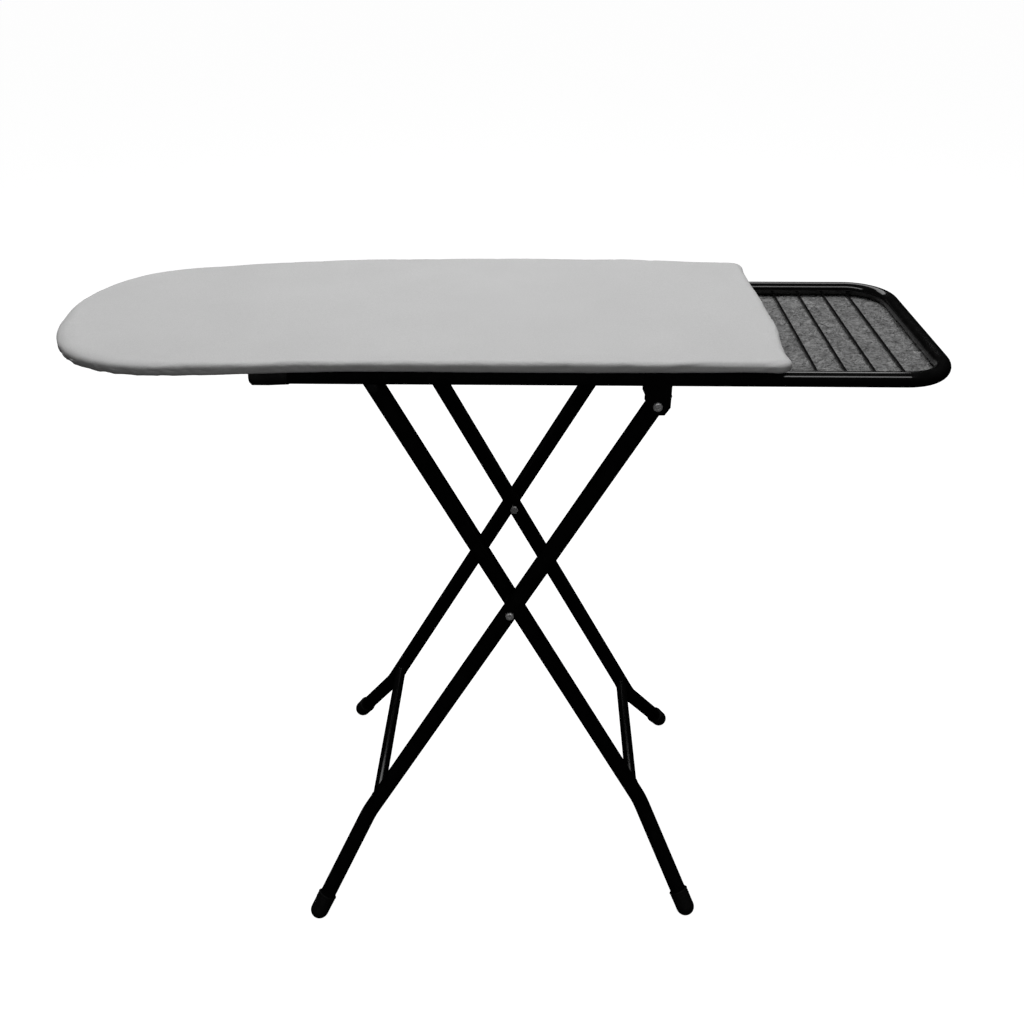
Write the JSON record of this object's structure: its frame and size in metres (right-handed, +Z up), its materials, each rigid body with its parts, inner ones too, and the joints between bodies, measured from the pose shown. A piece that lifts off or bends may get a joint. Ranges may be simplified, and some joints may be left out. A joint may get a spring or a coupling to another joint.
{
  "type": "ironing board",
  "caption": "Folding ironing board with a padded cloth-covered top, rounded nose, wire iron rest at the square end and crossed tubular legs with rubber feet.",
  "frame": {"origin": "on the floor, under the middle of the whole board", "axes": "+X along the board from the rounded nose to the iron rest, +Y across the board, +Z up"},
  "size_m": [1.0224, 0.4488, 0.842],
  "materials": {
    "cover_fabric": "light grey woven cotton, matte",
    "pad_felt": "needled felt",
    "deck_wood": "unvarnished plywood",
    "black_paint": "gloss black enamel on steel tube",
    "rest_sheet": "grey crinkle-embossed sheet, matte",
    "zinc_steel": "zinc plated",
    "black_rubber": "moulded rubber, satin",
    "black_plastic": "moulded polypropylene",
    "nylon": "black nylon"
  },
  "bodies": {
    "board": {"deck_panel": "deck_wood", "foam_pad": "pad_felt", "cover": "cover_fabric", "frame_tube": "black_paint", "rail_cap_near": "black_plastic", "rail_cap_far": "black_plastic", "bearer_screws": "zinc_steel", "rest_panel": "rest_sheet", "hinge_bracket_near": "black_paint", "hinge_bracket_far": "black_paint", "hinge_bolt_near": "zinc_steel", "hinge_bolt_far": "zinc_steel", "hinge_nut_near": "zinc_steel", "hinge_nut_far": "zinc_steel", "adjusting_track": "black_paint", "track_screws": "zinc_steel", "latch_pin": "zinc_steel", "latch_spring": "zinc_steel", "deck_bearer_1": "black_paint", "deck_bearer_2": "black_paint", "deck_bearer_3": "black_paint", "deck_bearer_4": "black_paint", "rest_rod_1": "black_paint", "rest_rod_2": "black_paint", "rest_rod_3": "black_paint", "rest_rod_4": "black_paint"},
    "outer_legs": {"outer_crossbar": "black_paint", "outer_leg_near": "black_paint", "outer_foot_near": "black_rubber", "outer_plug_near": "black_plastic", "outer_leg_far": "black_paint", "outer_foot_far": "black_rubber", "outer_plug_far": "black_plastic", "pivot_bolt_near": "zinc_steel", "pivot_nut_near": "zinc_steel", "pivot_spacer_near": "nylon", "pivot_bolt_far": "zinc_steel", "pivot_nut_far": "zinc_steel", "pivot_spacer_far": "nylon"},
    "inner_legs": {"inner_crossbar": "black_paint", "inner_leg_near": "black_paint", "inner_foot_near": "black_rubber", "inner_plug_near": "black_plastic", "inner_leg_far": "black_paint", "inner_foot_far": "black_rubber", "inner_plug_far": "black_plastic", "top_bar": "zinc_steel"},
    "latch": {"latch_strip": "black_paint", "release_rod": "black_paint", "release_grip_near": "black_plastic", "release_grip_far": "black_plastic"}
  },
  "joints": [
    {"name": "leg_fold", "type": "hinge", "parent": "board", "child": "outer_legs", "pos_m": [0.18505, 0, 0.78178], "axis": [0, 1, 0], "range_deg": [0, 55]},
    {"name": "inner_fold", "type": "hinge", "parent": "outer_legs", "child": "inner_legs", "pos_m": [0.0228, 0, 0.495], "axis": [0, 1, 0], "range_deg": [-111.3, 0]},
    {"name": "latch_release", "type": "hinge", "parent": "board", "child": "latch", "pos_m": [-0.4705, 0, 0.806], "axis": [0, 1, 0], "range_deg": [0, 1.3]}
  ],
  "couplings": [
    {"joint": "inner_fold", "follows": "leg_fold", "ratio": -2.0225}
  ]
}
